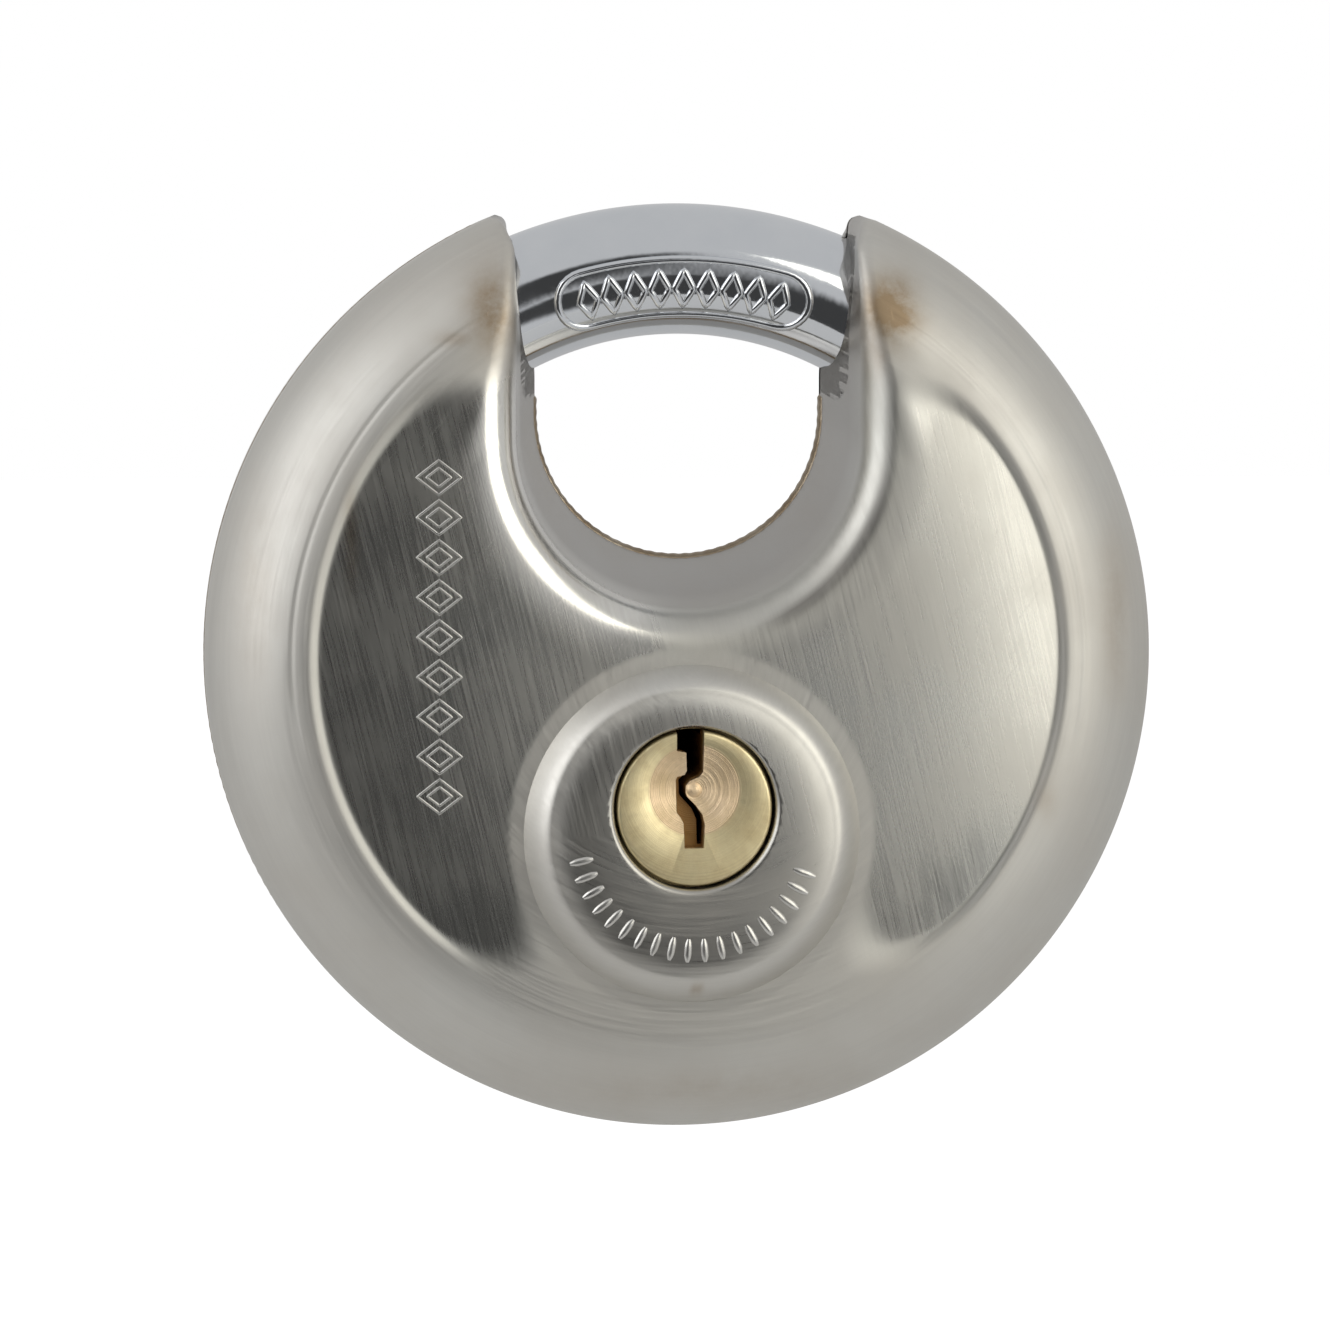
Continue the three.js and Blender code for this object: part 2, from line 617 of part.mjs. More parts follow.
RIVETS.forEach(([x, z], i) => add(`plate_rivet_${i + 1}`, rivet(), HARD_STEEL, x, 0, z));
[-1, 1].forEach((side, i) => {
  const dowel = rod(DOWEL_RADIUS, -BLOCK.half + 0.1, HOUSING.back - 0.1);
  add(`housing_dowel_${i + 1}`, dowel, HARD_STEEL, side * DOWEL_X, 0, PLUG_Z);
});
const stopSpread = THREE.MathUtils.radToDeg((STOP_RADIUS + GAP) / RING_RADIUS);
const [closedX, closedZ] = ringPoint(TOE_ANGLE + stopSpread);
const [openX, openZ] = ringPoint(TAIL_ANGLE - SWING - stopSpread);
add('closed_stop', stopPin(), HARD_STEEL, closedX, 0, closedZ);
add('open_stop', stopPin(), HARD_STEEL, openX, 0, openZ);

export default lock;
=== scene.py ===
"""Looks of the disc padlock: pressed stainless shells, a chromed shackle and a turned brass plug.

Shapes are worked out in millimetres round the centre of the case, as the CAD part's are. Each new piece
has its origin at that centre, so object coordinates in a material count from there too.
"""

import json
import math

import bpy
import numpy as np
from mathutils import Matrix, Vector


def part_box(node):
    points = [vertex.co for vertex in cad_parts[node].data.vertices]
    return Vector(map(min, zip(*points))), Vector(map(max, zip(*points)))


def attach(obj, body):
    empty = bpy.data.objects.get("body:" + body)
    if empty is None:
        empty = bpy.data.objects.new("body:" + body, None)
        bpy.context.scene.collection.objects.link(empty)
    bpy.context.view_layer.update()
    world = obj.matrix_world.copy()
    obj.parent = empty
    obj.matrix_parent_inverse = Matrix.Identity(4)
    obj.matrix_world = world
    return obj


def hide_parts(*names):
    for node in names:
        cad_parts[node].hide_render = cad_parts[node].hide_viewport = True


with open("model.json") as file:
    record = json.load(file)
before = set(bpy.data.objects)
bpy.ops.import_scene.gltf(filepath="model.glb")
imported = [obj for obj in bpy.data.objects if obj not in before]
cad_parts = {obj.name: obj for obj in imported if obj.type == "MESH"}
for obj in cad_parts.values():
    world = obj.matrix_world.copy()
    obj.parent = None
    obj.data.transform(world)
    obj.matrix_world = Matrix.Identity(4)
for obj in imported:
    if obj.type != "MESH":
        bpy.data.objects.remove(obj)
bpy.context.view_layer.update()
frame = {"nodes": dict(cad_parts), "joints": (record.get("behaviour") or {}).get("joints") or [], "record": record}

MM = 0.001
joints = {joint["name"]: joint for joint in frame["joints"]}
CENTRE = Vector(joints["shackle_swing"]["pos_m"])
PLUG_Z = (joints["plug_turn"]["pos_m"][2] - CENTRE.z) / MM
SWING = joints["shackle_swing"]["range_deg"][1]
RING_RADIUS = -CENTRE.z / MM
shell_low, shell_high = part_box("rear_shell")
CASE_RADIUS = (shell_high.x - shell_low.x) / 2 / MM
BOSS_DEPTH = shell_high.y / MM

# Pressed sheet, in millimetres
SHEET = 1.4
FLAT_DEPTH = 10.4
FLAT_CROWN = 1.1  # how much lower the crescent flats are at the rim than they would be at the middle
RIM_RISE = {"height": 0.28, "start": 21, "reach": 5}  # of the rim above the crescent flats
WALL_DEPTH = 2.2
RIM_ROLL = 7.4
POCKET_RADIUS = 28.1  # the crescent flats are pockets inside this radius
POCKET_SLOPE = 1.2  # width of the slope down into them from the rim
RIB_SLOPE = 3.0  # and from the rib
UPPER_CORNER = 3.2  # rounding of their corners, in widths of slope
LOWER_CORNER = 8.0
CREASE_RADIUS = 28.9
CREASE_DEPTH = 0.04
CREASE_WIDTH = 0.15
BEND = 2.6
HORN_BEND = {"radius": 1.2, "start": 19, "reach": 7}  # the roll is tighter up at the horns
RIB_WIDTH = 2.2  # from the throat to where the rib slopes down into a pocket
RIB_FALL = {"depth": 0.45, "reach": 5.2}  # gentle fall of the face towards the throat
BOSS_Z = -12.5
BOSS_FOOT = 8.1  # depth at which its shoulder starts, inside the sheet
BOSS_FLAT = 10.2
BOSS_BASE = 13.5
BOSS_SHOULDER = BOSS_BASE - BOSS_FLAT
BOSS_CROWN = 0.36  # fall of the boss's flat from its middle to its edge, most of it near the edge
KEYHOLE_RADIUS = 5.85
SEAM_HALF = 0.4
THROAT_FACE = {"width": 12.5, "z": 16.1, "tip": 14.0, "flare": 2.6}
THROAT_SEAM = {"width": 10.6, "z": 17.7, "tip": 13.5, "flare": 12}
TIP_ROUNDING = 0.8
LIP_TOP = 19.1

BAR_RADIUS = 4.8
TOE_ANGLE = 134
TAIL_ANGLE = -67


# ---- meshes ----


def piece(name, points, faces, body, slot, replaces=(), origin=CENTRE):
    """A new piece from points in millimetres round the case's centre, or round another origin."""
    mesh = bpy.data.meshes.new(name)
    mesh.from_pydata((np.asarray(points) * MM).tolist(), [], [list(map(int, f)) for f in faces])
    made = bpy.data.objects.new(name, mesh)
    bpy.context.scene.collection.objects.link(made)
    made.location = origin
    if body:
        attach(made, body)
    if replaces:
        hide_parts(*replaces)
    return made


def soften(made, angle=35):
    """Smooth shading, but sharp over edges that turn by more than the angle."""
    made.data.shade_smooth()
    made.data.set_sharp_from_angle(angle=math.radians(angle))


def grid_faces(columns, rows, wrap_columns=False, wrap_rows=False, start=0):
    """Quads between the points of a grid that is stored column after column."""
    faces = []
    for i in range(columns if wrap_columns else columns - 1):
        for j in range(rows if wrap_rows else rows - 1):
            a, b = i * rows + j, (i + 1) % columns * rows + j
            up = 1 if j + 1 < rows else 1 - rows
            faces.append((start + a, start + b, start + b + up, start + a + up))
    return faces


def lathe(profile, segments=96, z=0.0):
    """Points and faces of a piece turned about Y, from (radius, y) points whose ends are on the axis."""
    turn = np.linspace(0, 2 * math.pi, segments, endpoint=False)[:, None]
    radius, y = np.array(profile[1:-1], float).T
    ring = np.stack([radius * np.cos(turn), y + 0 * turn, radius * np.sin(turn) + z], -1)
    rows = len(radius)
    points = [*ring.reshape(-1, 3), (0, profile[0][1], z), (0, profile[-1][1], z)]
    faces = [face[::-1] for face in grid_faces(segments, rows, wrap_columns=True)]
    first, last = segments * rows, segments * rows + 1
    for i in range(segments):
        a, b = i * rows, (i + 1) % segments * rows
        faces.append((first, a, b))
        faces.append((last, b + rows - 1, a + rows - 1))
    return points, faces


def cut(made, *cutters, operation="DIFFERENCE"):
    """Cuts the cutters, each given as (points, faces), out of a piece, or joins them to it."""
    for points, faces in cutters:
        tool = piece("cutter", points, faces, None, None, origin=made.location)
        modifier = made.modifiers.new("cut", "BOOLEAN")
        modifier.operation = operation
        modifier.solver = "MANIFOLD"
        modifier.object = tool
        depsgraph = bpy.context.evaluated_depsgraph_get()
        mesh = bpy.data.meshes.new_from_object(made.evaluated_get(depsgraph))
        made.modifiers.clear()
        made.data = mesh
        bpy.data.objects.remove(tool)


def extrude(outline, y0, y1):
    """A prism along Y over an outline of (x, z) points, counter-clockwise as seen from the front."""
    count = len(outline)
    points = [(x, y0, z) for x, z in outline] + [(x, y1, z) for x, z in outline]
    faces = [list(range(count)), [*range(2 * count - 1, count - 1, -1)]]
    for i in range(count):
        j = (i + 1) % count
        faces.append((j, i, count + i, count + j))
    return points, faces


def tube(path, up, half_width, half_height, closed=True, sides=10):
    """Points and faces of an oval bead that lies on a surface along a path. up is the surface's normal."""
    path, up = np.array(path, float), np.array(up, float)
    if closed:
        along = np.roll(path, -1, 0) - np.roll(path, 1, 0)
    else:
        along = np.gradient(path, axis=0)
    side = np.cross(along, up)
    side /= np.linalg.norm(side, axis=1)[:, None]
    turn = np.linspace(0, 2 * math.pi, sides, endpoint=False)
    swell = np.ones(len(path))
    if not closed:
        end = np.minimum(np.arange(len(path)), np.arange(len(path))[::-1]) / 3
        swell = np.sqrt(1 - (1 - np.clip(end, 0.1, 1)) ** 2)
    across = half_width * swell[:, None] * np.cos(turn)
    out = half_height * swell[:, None] * np.sin(turn)
    points = path[:, None] + across[..., None] * side[:, None] + out[..., None] * up[:, None]
    faces = grid_faces(len(path), sides, wrap_columns=closed, wrap_rows=True)
    if not closed:
        faces += [list(range(sides)), [len(path) * sides - 1 - i for i in range(sides)]]
    return points.reshape(-1, 3), faces


def joined(parts):
    """Several (points, faces) as one."""
    points, faces = [], []
    for some_points, some_faces in parts:
        faces += [[len(points) + i for i in face] for face in some_faces]
        points += list(some_points)
    return points, faces


# ---- pressed shells ----


def smooth(t):
    t = np.clip(t, 0, 1)
    return t * t * (3 - 2 * t)


def ramp(value, start, width):
    """0 up to the start and 1 from the width further on, smooth between. It falls if width is negative."""
    return smooth((value - start) / width)


def bell(offset, width):
    return np.exp(-((offset / width) ** 2))


def roll(distance, radius):
    """Quarter round: 0 at the edge, 1 once inside by the radius."""
    return np.sqrt(1 - (1 - np.clip(distance / radius, 0, 1)) ** 2)


def lerp(a, b, share):
    return a + (b - a) * share


class Throat:
    """The throat's outline at one level, grown by an offset into the sheet.

    Each side runs up at its width, flares towards the tip and rounds over into the case's edge.
    """

    def __init__(self, width, z, tip, flare, offset=0.0):
        self.width, self.z, self.flare = width + offset, z, flare
        self.tip_x = tip + offset
        self.tip_z = math.sqrt((CASE_RADIUS - offset) ** 2 - self.tip_x**2)

    def width_at(self, height):
        share = ramp(height, self.tip_z - self.flare, self.flare)
        rounding = TIP_ROUNDING * (1 - roll(self.tip_z - height, TIP_ROUNDING))
        return lerp(self.width, self.tip_x - TIP_ROUNDING, share) + rounding

    def distance(self, x, z):
        """Distance from the outline, out into the face."""
        return np.where(z > self.z, np.abs(x) - self.width_at(z), np.hypot(x, z - self.z) - self.width)

    def points(self, share, side_share=0.23):
        """Points from the left tip round to the right one. side_share of them are on each straight side."""
        down = np.minimum(share, 1 - share) / side_share
        height = lerp(self.tip_z, self.z, np.clip(down, 0, 1))
        angle = math.pi * (1 + np.clip((share - side_share) / (1 - 2 * side_share), 0, 1))
        sides = down < 1
        x = np.where(sides, np.sign(share - 0.5) * self.width_at(height), self.width * np.cos(angle))
        return x, np.where(sides, height, self.z + self.width * np.sin(angle))


face_outline = Throat(**THROAT_FACE)


def rounded(first, second, corner):
    """Distance into a pocket with two sides and a rounded corner, from the distance to each side."""
    return corner - np.hypot(np.maximum(corner - first, 0), np.maximum(corner - second, 0))


def pocket_share(x, z, throat, offset=0.0):
    """1 on the crescent flats, 0 on the rim and either on the rib round the throat or round the boss."""
    from_rim = (POCKET_RADIUS - np.hypot(x, z)) / POCKET_SLOPE
    from_rib = (throat + offset - RIB_WIDTH) / RIB_SLOPE
    from_boss = (np.hypot(x, z - BOSS_Z) - BOSS_BASE) / POCKET_SLOPE + 1
    upper = smooth(rounded(from_rim, from_rib, UPPER_CORNER))
    lower = smooth(rounded(from_rim, from_boss, LOWER_CORNER))
    return upper, lower


def face_depth(x, z, outline=face_outline, offset=0.0):
    """Depth of the face from the mid-plane without the boss, outside the sheet or an offset into it."""
    radius = np.hypot(x, z)
    throat = outline.distance(x, z)
    flat = FLAT_DEPTH - FLAT_CROWN * (radius / POCKET_RADIUS) ** 4
    upper, lower = pocket_share(x, z, throat, offset)
    rise = RIM_RISE["height"] * ramp(radius, RIM_RISE["start"], RIM_RISE["reach"])
    crease = CREASE_DEPTH * bell(radius - CREASE_RADIUS, CREASE_WIDTH) * (throat > RIB_WIDTH)
    fall = RIB_FALL["depth"] * np.clip(1 - (throat + offset) / RIB_FALL["reach"], 0, 1) ** 2
    face = flat + rise * (1 - upper * lower) - fall - offset
    if offset == 0:
        face = face - crease
    rolled = WALL_DEPTH + (face - WALL_DEPTH) * roll(CASE_RADIUS - offset - radius, RIM_ROLL - offset)
    up_horn = ramp(z, HORN_BEND["start"], HORN_BEND["reach"])
    reach = lerp(BEND, HORN_BEND["radius"], up_horn)
    bend = np.minimum(reach, rolled / 2)
    return rolled - bend * (1 - roll(throat, reach))


def boss_height(inside):
    """Depth of the boss from the mid-plane, at a distance inside its foot."""
    share = inside / BOSS_SHOULDER
    crown = BOSS_CROWN * np.minimum((BOSS_BASE - inside) / BOSS_FLAT, 1) ** 6
    return lerp(BOSS_FOOT, BOSS_DEPTH, lerp(smooth(share), roll(share, 1), 0.55)) - crown


def boss(offset):
    """The boss on the rear side, or with an offset of SHEET the hollow inside it."""
    base = BOSS_BASE - offset / 2
    flat = np.linspace(BOSS_SHOULDER, BOSS_BASE - 5, 24)
    inside = [*np.linspace(0, BOSS_SHOULDER, 20), *flat[1:]]
    outline = [(base - i, boss_height(i) - offset) for i in inside]
    foot = BOSS_FOOT - (3 * SHEET if offset else 0.3)
    return lathe([(0, foot), (base, foot), *outline, (0, BOSS_DEPTH - offset)], 160, BOSS_Z)


COLUMNS = 380
RIM_ROWS = 18
CREASE_ROWS = 26
FACE_ROWS = 70
BEND_ROWS = 9
CREASE_ZONE = 4  # width of the closely divided band inside the rim's roll


def steps(count):
    """Evenly spread numbers from 0 up to, but not including, 1."""
    return np.linspace(0, 1, count, endpoint=False)


def row_shares(length):
    """Shares of the way from the case's edge to the throat's, close together where the sheet bends."""
    length = length[:, None]
    rim = np.minimum(RIM_ROLL, 0.45 * length) / length
    crease = np.minimum(RIM_ROLL + CREASE_ZONE, 0.7 * length) / length
    bend = np.minimum(BEND, 0.1 * length) / length
    rows = [
        rim * (1 - np.cos(steps(RIM_ROWS) * math.pi / 2)),
        lerp(rim, crease, steps(CREASE_ROWS)),
        lerp(crease, 1 - bend, steps(FACE_ROWS)),
        1 - bend + bend * np.sin(np.linspace(0, 1, BEND_ROWS) * math.pi / 2),
    ]
    return np.hstack(rows)


def skin(offset):
    """One skin of the rear shell, as columns of points from the case's edge to the throat's."""
    face = Throat(**THROAT_FACE, offset=offset)
    seam = Throat(**THROAT_SEAM, offset=offset)
    share = np.linspace(0, 1, COLUMNS)
    first = math.atan2(face.tip_z, -face.tip_x)
    angle = lerp(first, 3 * math.pi - first, share)
    x0, z0 = (CASE_RADIUS - offset) * np.cos(angle), (CASE_RADIUS - offset) * np.sin(angle)
    x1, z1 = face.points(share)
    along = row_shares(np.maximum(np.hypot(x1 - x0, z1 - z0), 0.5))
    x = lerp(x0[:, None], x1[:, None], along)
    z = lerp(z0[:, None], z1[:, None], along)
    surface = np.stack([x, face_depth(x, z, face, offset), z], -1)
    rim_edge = np.stack([x0, np.full(COLUMNS, SEAM_HALF), z0], -1)[:, None]
    x2, z2 = seam.points(share)
    throat_edge = np.stack([x2, np.full(COLUMNS, SEAM_HALF), z2], -1)[:, None]
    walls = [lerp(surface[:, -1:], throat_edge, t) for t in (0.25, 0.5, 0.75)]
    rim_wall = lerp(rim_edge, surface[:, :1], 0.5)
    return np.concatenate([rim_edge, rim_wall, surface, *walls, throat_edge], 1)


def shell_mesh():
    """Both skins of the rear shell, joined by strips along their four edges."""
    outer, inner = skin(0), skin(SHEET)
    rows = outer.shape[1]
    inner_start = COLUMNS * rows
    faces = [face[::-1] for face in grid_faces(COLUMNS, rows)]
    faces += grid_faces(COLUMNS, rows, start=inner_start)
    edges = []
    for i in range(COLUMNS - 1):
        edges += [(i * rows, (i + 1) * rows), ((i + 2) * rows - 1, (i + 1) * rows - 1)]
    last = (COLUMNS - 1) * rows
    for j in range(rows - 1):
        edges += [(j + 1, j), (last + j, last + j + 1)]
    faces += [(a, b, inner_start + b, inner_start + a) for a, b in edges]
    return np.concatenate([outer, inner]).reshape(-1, 3), faces


def arc(x, z, radius, start, end, count=8):
    """Points of an arc from one angle to another, in degrees."""
    turn = np.radians(np.linspace(start, end, count))
    return [(x + radius * math.cos(t), z + radius * math.sin(t)) for t in turn]


def passage():
    """The rounded channel that the shackle runs in, where it breaks through the throat's walls."""
    corner, half = 2.6, BAR_RADIUS + 0.6
    inner, outer = math.hypot(THROAT_SEAM["width"], LIP_TOP), CASE_RADIUS - SHEET - 0.1
    section = [
        *arc(inner + corner, corner - half, corner, 180, 270),
        *arc(outer - corner, corner - half, corner, 270, 360),
        *arc(outer - corner, half - corner, corner, 0, 90),
        *arc(inner + corner, half - corner, corner, 90, 180),
    ]
    columns, count = 81, len(section)
    turn = np.radians(np.linspace(140, 40, columns))[:, None]
    radius, y = np.array(section).T
    ring = np.stack([radius * np.cos(turn), y + 0 * turn, radius * np.sin(turn)], -1)
    faces = [face[::-1] for face in grid_faces(columns, count, wrap_rows=True)]
    faces += [list(range(count))[::-1], [(columns - 1) * count + i for i in range(count)]]
    return ring.reshape(-1, 3), faces


def keyhole():
    """The keyhole's cutter, flared at the face so that the hole has a rolled edge."""
    lip = 0.5
    rounding = arc(KEYHOLE_RADIUS + lip, BOSS_DEPTH - lip, lip, 180, 90, 7)
    bottom, top = 5, BOSS_DEPTH + 1
    profile = [(0, bottom), (KEYHOLE_RADIUS, bottom), *rounding, (KEYHOLE_RADIUS + lip, top), (0, top)]
    return lathe(profile, 128, PLUG_Z)


def pressing(side, *holes):
    """A shell, its boss and its openings. side is 1 for the rear shell and -1 for the front one."""
    points, faces = shell_mesh()
    name = "rear_shell" if side > 0 else "front_shell"
    made = piece(name + "_pressing", sided(points, side), faces, "case", "stainless", [name])
    cut(made, placed(boss(0), side), operation="UNION")
    cut(made, *[placed(form, side) for form in (boss(SHEET), passage(), *holes)])
    soften(made)
    return made


def sided(points, side):
    """Turned half a turn about Z for the front side."""
    return np.asarray(points) * (side, side, 1)


def placed(form, side):
    points, faces = form
    return sided(points, side), faces


rear_shell = pressing(1)
front_shell = pressing(-1, keyhole())

# ---- finish of the pressed sheet, with painted shade and painted highlights, kept on its points ----

BRIGHT_STEEL = (0.67, 0.66, 0.625)
FLAT_STEEL = (0.6, 0.6, 0.565)
# painted highlight: a brighter tone for the boss's crest and the left rib
PAINTED_HIGHLIGHT_STEEL = (0.85, 0.84, 0.8)
BOSS_STEEL = (0.46, 0.455, 0.43)
WALL_STEEL = (0.5, 0.49, 0.475)
# painted shade: the same steel darkened, for the dark line by the rib and for the hollow inside of the shells
PAINTED_SHADE_STEEL = (0.16, 0.155, 0.15)
HORN_START = 23.5  # distance from the middle at which the rim's satin starts on the horns
SKIN_DEPTH = 0.9  # a point further than this into the sheet is on its inner skin
PAINTED_DARK_BAND = {"throat": 2.1, "width": 0.5, "strength": 0.8}  # painted shade: a dark line along the rib's right side, standing in for the dark room reflected there
# Heat and rust tints: (x, z) from the case's centre, reach across and up, strength
TINTS = [
    ((-14.4, 25.2), (1.7, 3.0), 1.0),
    ((-16.8, 23.2), (1.6, 0.6), 0.5),
    ((14.7, 25.2), (2.0, 2.4), 1.5),
    ((13.6, 22.2), (1.0, 1.8), 0.5),
    ((31.4, 3.0), (1.1, 5.5), 0.35),
    ((-31.5, 4.5), (1.4, 6.0), 0.22),
    ((-24.6, 8.6), (0.5, 3.0), 0.6),
    ((26.0, -10.5), (0.8, 1.2), 0.3),
    ((0.2, -23.9), (0.35, 0.5), 0.8),
    ((2.0, -31.5), (9.0, 1.6), 0.25),
]


def attribute(made, name, values):
    """Stores one number or one vector per point, for the material to read."""
    kind = "FLOAT" if values.ndim == 1 else "FLOAT_VECTOR"
    layer = made.data.attributes.new(name, kind, "POINT")
    layer.data.foreach_set("value" if kind == "FLOAT" else "vector", values.astype(np.float32).ravel())


def mixed(base, *layers):
    """Values laid over each other, each given as (value, share at each point)."""
    total = np.zeros((len(layers[0][1]), np.size(base))) + base
    for value, share in layers:
        total = lerp(total, np.array(value, float), share[:, None])
    return total if np.size(base) > 1 else total[:, 0]


def tint_at(x, z):
    tint = np.zeros(len(x))
    for (tint_x, tint_z), (across, high), strength in TINTS:
        reach = ((x - tint_x) / across) ** 2 + ((z - tint_z) / high) ** 2
        tint = np.maximum(tint, strength * np.exp(-reach))
    return tint


def paint_shell(shell):
    """Tone, roughness, brushing and tints of each part of a pressing, with painted shade on the inner skin and
    along the rib's right side, and a painted highlight on the boss's crest and the left rib.
    """
    points = np.empty(len(shell.data.vertices) * 3, np.float32)
    shell.data.vertices.foreach_get("co", points)
    x, y, z = (points.reshape(-1, 3) / MM).T
    radius, throat = np.hypot(x, z), face_outline.distance(x, z)
    from_boss = np.hypot(x, z - BOSS_Z)
    upper, lower = pocket_share(x, z, throat)

    satin = ramp(radius, POCKET_RADIUS - POCKET_SLOPE - 0.3, 0.7)
    horns = (1 - upper) * ramp(radius, HORN_START, 3)
    rim = np.maximum.reduce([satin, horns, (1 - lower) * (z < BOSS_Z)])
    rib = (1 - upper) * (1 - rim)
    worn_rib = rib * ramp(x, -5, 5)
    # painted shade: a dark line along the rib's right side, where the sheet would reflect the dark room
    painted_dark_band = bell(throat - PAINTED_DARK_BAND["throat"], PAINTED_DARK_BAND["width"]) * ramp(x, 4, 4) * ramp(z, 15, -6)
    shoulder = ramp(from_boss, BOSS_BASE, -0.4)
    boss_flat = ramp(from_boss, BOSS_FLAT + 0.2, -1.4)
    # painted highlight: a brighter tone on the boss's crest, strongest at its upper left, and along the left rib
    boss_highlight = bell(from_boss - BOSS_FLAT + 0.5, 0.9) * ramp(z - BOSS_Z - x, 0, 10)
    painted_highlight = np.maximum(boss_highlight, rib * ramp(from_boss, BOSS_BASE + 1, 2))
    wall = ramp(throat, 0.5, -0.9)
    # the inner skin found here is painted dark, as shade in the hollow case
    beneath = ramp(face_depth(x, z) - np.abs(y), SHEET / 2, 0.4)
    inside = beneath * (throat > SKIN_DEPTH) * (radius < CASE_RADIUS - SKIN_DEPTH)

    tone = mixed(
        FLAT_STEEL,
        (BRIGHT_STEEL, 1 - upper * lower),
        (BRIGHT_STEEL, shoulder),
        (BOSS_STEEL, boss_flat),
        # painted highlight on the boss's crest and the left rib
        (PAINTED_HIGHLIGHT_STEEL, painted_highlight),
        (FLAT_STEEL, worn_rib),
        # painted shade along the rib's right side
        (PAINTED_SHADE_STEEL, PAINTED_DARK_BAND["strength"] * painted_dark_band),
        (WALL_STEEL, wall),
        # painted shade on the inner skin
        (PAINTED_SHADE_STEEL, inside),
    )
    rough = mixed(
        0.26,
        (0.17, rib),
        (0.42, worn_rib),
        (0.5, rim),
        (0.42, shoulder),
        (0.3, boss_flat),
        (0.36, wall),
        (0.5, inside),
    )
    attribute(shell, "tone", tone)
    attribute(shell, "rough", rough)
    attribute(shell, "tint", tint_at(x, z) * (y < 0))
    round_brushed = np.maximum.reduce([rim, shoulder * (1 - boss_flat), wall, inside])
    attribute(shell, "round_brushed", round_brushed)
    attribute(shell, "ring", np.stack([radius, np.arctan2(x, -z) * 30, y], 1))


for shell in (rear_shell, front_shell):
    paint_shell(shell)

# ---- shackle ----

END_ROUNDING = 1.3
SLOT = {"half": 2.15, "front": -1.2}
# The cartouche's middle is tilted below the front by this many degrees
CARTOUCHE = {"tilt": -18.6, "half_length": 9.5, "half_height": 2.2, "lozenge_reach": 7.2}
BEAD_PROUD = -0.09  # the beads lie partly in the bar, so that they clear the front plate when it swings


def on_bar(along, across, proud):
    """A point that stands proud of the shackle's surface by a distance, and the normal there.

    along runs in millimetres clockwise from the top of the ring, across up from the cartouche's middle.
    """
    turn = math.pi / 2 - np.asarray(along) / (RING_RADIUS - 1)
    lean = math.radians(CARTOUCHE["tilt"]) + np.asarray(across) / BAR_RADIUS
    out = np.stack([np.cos(turn), 0 * turn, np.sin(turn)], -1)
    front = np.array([0.0, -1.0, 0.0])
    normal = front * np.cos(lean)[..., None] + out * np.sin(lean)[..., None]
    return out * RING_RADIUS + normal * (BAR_RADIUS + proud), normal


def bar():
    """The bent bar, with its two ends rounded over."""
    sides, end_rows = 72, 8
    middle = np.linspace(TOE_ANGLE, TAIL_ANGLE, 240)[end_rows:-end_rows]
    rounding = END_ROUNDING * (1 - np.cos(np.linspace(0, math.pi / 2, end_rows)))
    rounding = np.degrees(rounding / RING_RADIUS)
    turn = np.radians([*(TOE_ANGLE - rounding), *middle, *(TAIL_ANGLE + rounding[::-1])])
    from_end = np.minimum(math.radians(TOE_ANGLE) - turn, turn - math.radians(TAIL_ANGLE)) * RING_RADIUS
    radius = BAR_RADIUS - END_ROUNDING * (1 - roll(from_end, END_ROUNDING))
    lean = np.linspace(0, 2 * math.pi, sides, endpoint=False)
    reach = RING_RADIUS + radius[:, None] * np.cos(lean)
    turn = turn[:, None]
    points = np.stack([reach * np.cos(turn), radius[:, None] * np.sin(lean), reach * np.sin(turn)], -1)
    count = len(turn)
    faces = grid_faces(count, sides, wrap_rows=True)
    faces += [list(range(sides)), [count * sides - 1 - i for i in range(sides)]]
    return points.reshape(-1, 3), faces


def crank_slot():
    """The slot across the back of the shackle's tail, which the crank pin runs in."""
    half, start, end = SLOT["half"], RING_RADIUS - BAR_RADIUS - 3, crank_reach() + 0.2
    outline = [(start, -half), (end, -half), *arc(end, 0, half, -80, 80, 15), (end, half), (start, half)]
    points, faces = extrude(outline, SLOT["front"], BAR_RADIUS + 1)
    x, y, z = np.array(points).T
    lean = math.radians(SWING / 2 - 90)
    across, along = x * math.cos(lean) - z * math.sin(lean), x * math.sin(lean) + z * math.cos(lean)
    return np.stack([across, y, along], 1), faces


def crank_reach():
    """Distance from the case's centre to the crank pin at the middle of its swing."""
    low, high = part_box("drive_pin")
    middle = (low + high) / 2 - CENTRE
    return -PLUG_Z + math.hypot(middle.x / MM, middle.z / MM - PLUG_Z)


shackle = piece("shackle_bar_smooth", *bar(), "shackle_bar", "chrome", ["shackle"])
cut(shackle, crank_slot())
soften(shackle)


def racetrack(half_length, half_height, count=16):
    """Outline of a slot with round ends, counter-clockwise, as (along, across) points."""
    straight = half_length - half_height
    right = arc(straight, 0, half_height, -90, 90, count)
    left = arc(-straight, 0, half_height, 90, 270, count)
    top = [(x, half_height) for x in np.linspace(straight, -straight, 24)[1:-1]]
    bottom = [(x, -half_height) for x in np.linspace(-straight, straight, 24)[1:-1]]
    return [*right, *top, *left, *bottom]


def lozenge(half_width, half_height, count):
    """Points of a lozenge's outline, counter-clockwise from its right corner."""
    side = 4 * steps(count)
    x = np.interp(side, range(5), [half_width, 0, -half_width, 0, half_width])
    z = np.interp(side, range(5), [0, half_height, 0, -half_height, 0])
    return x, z


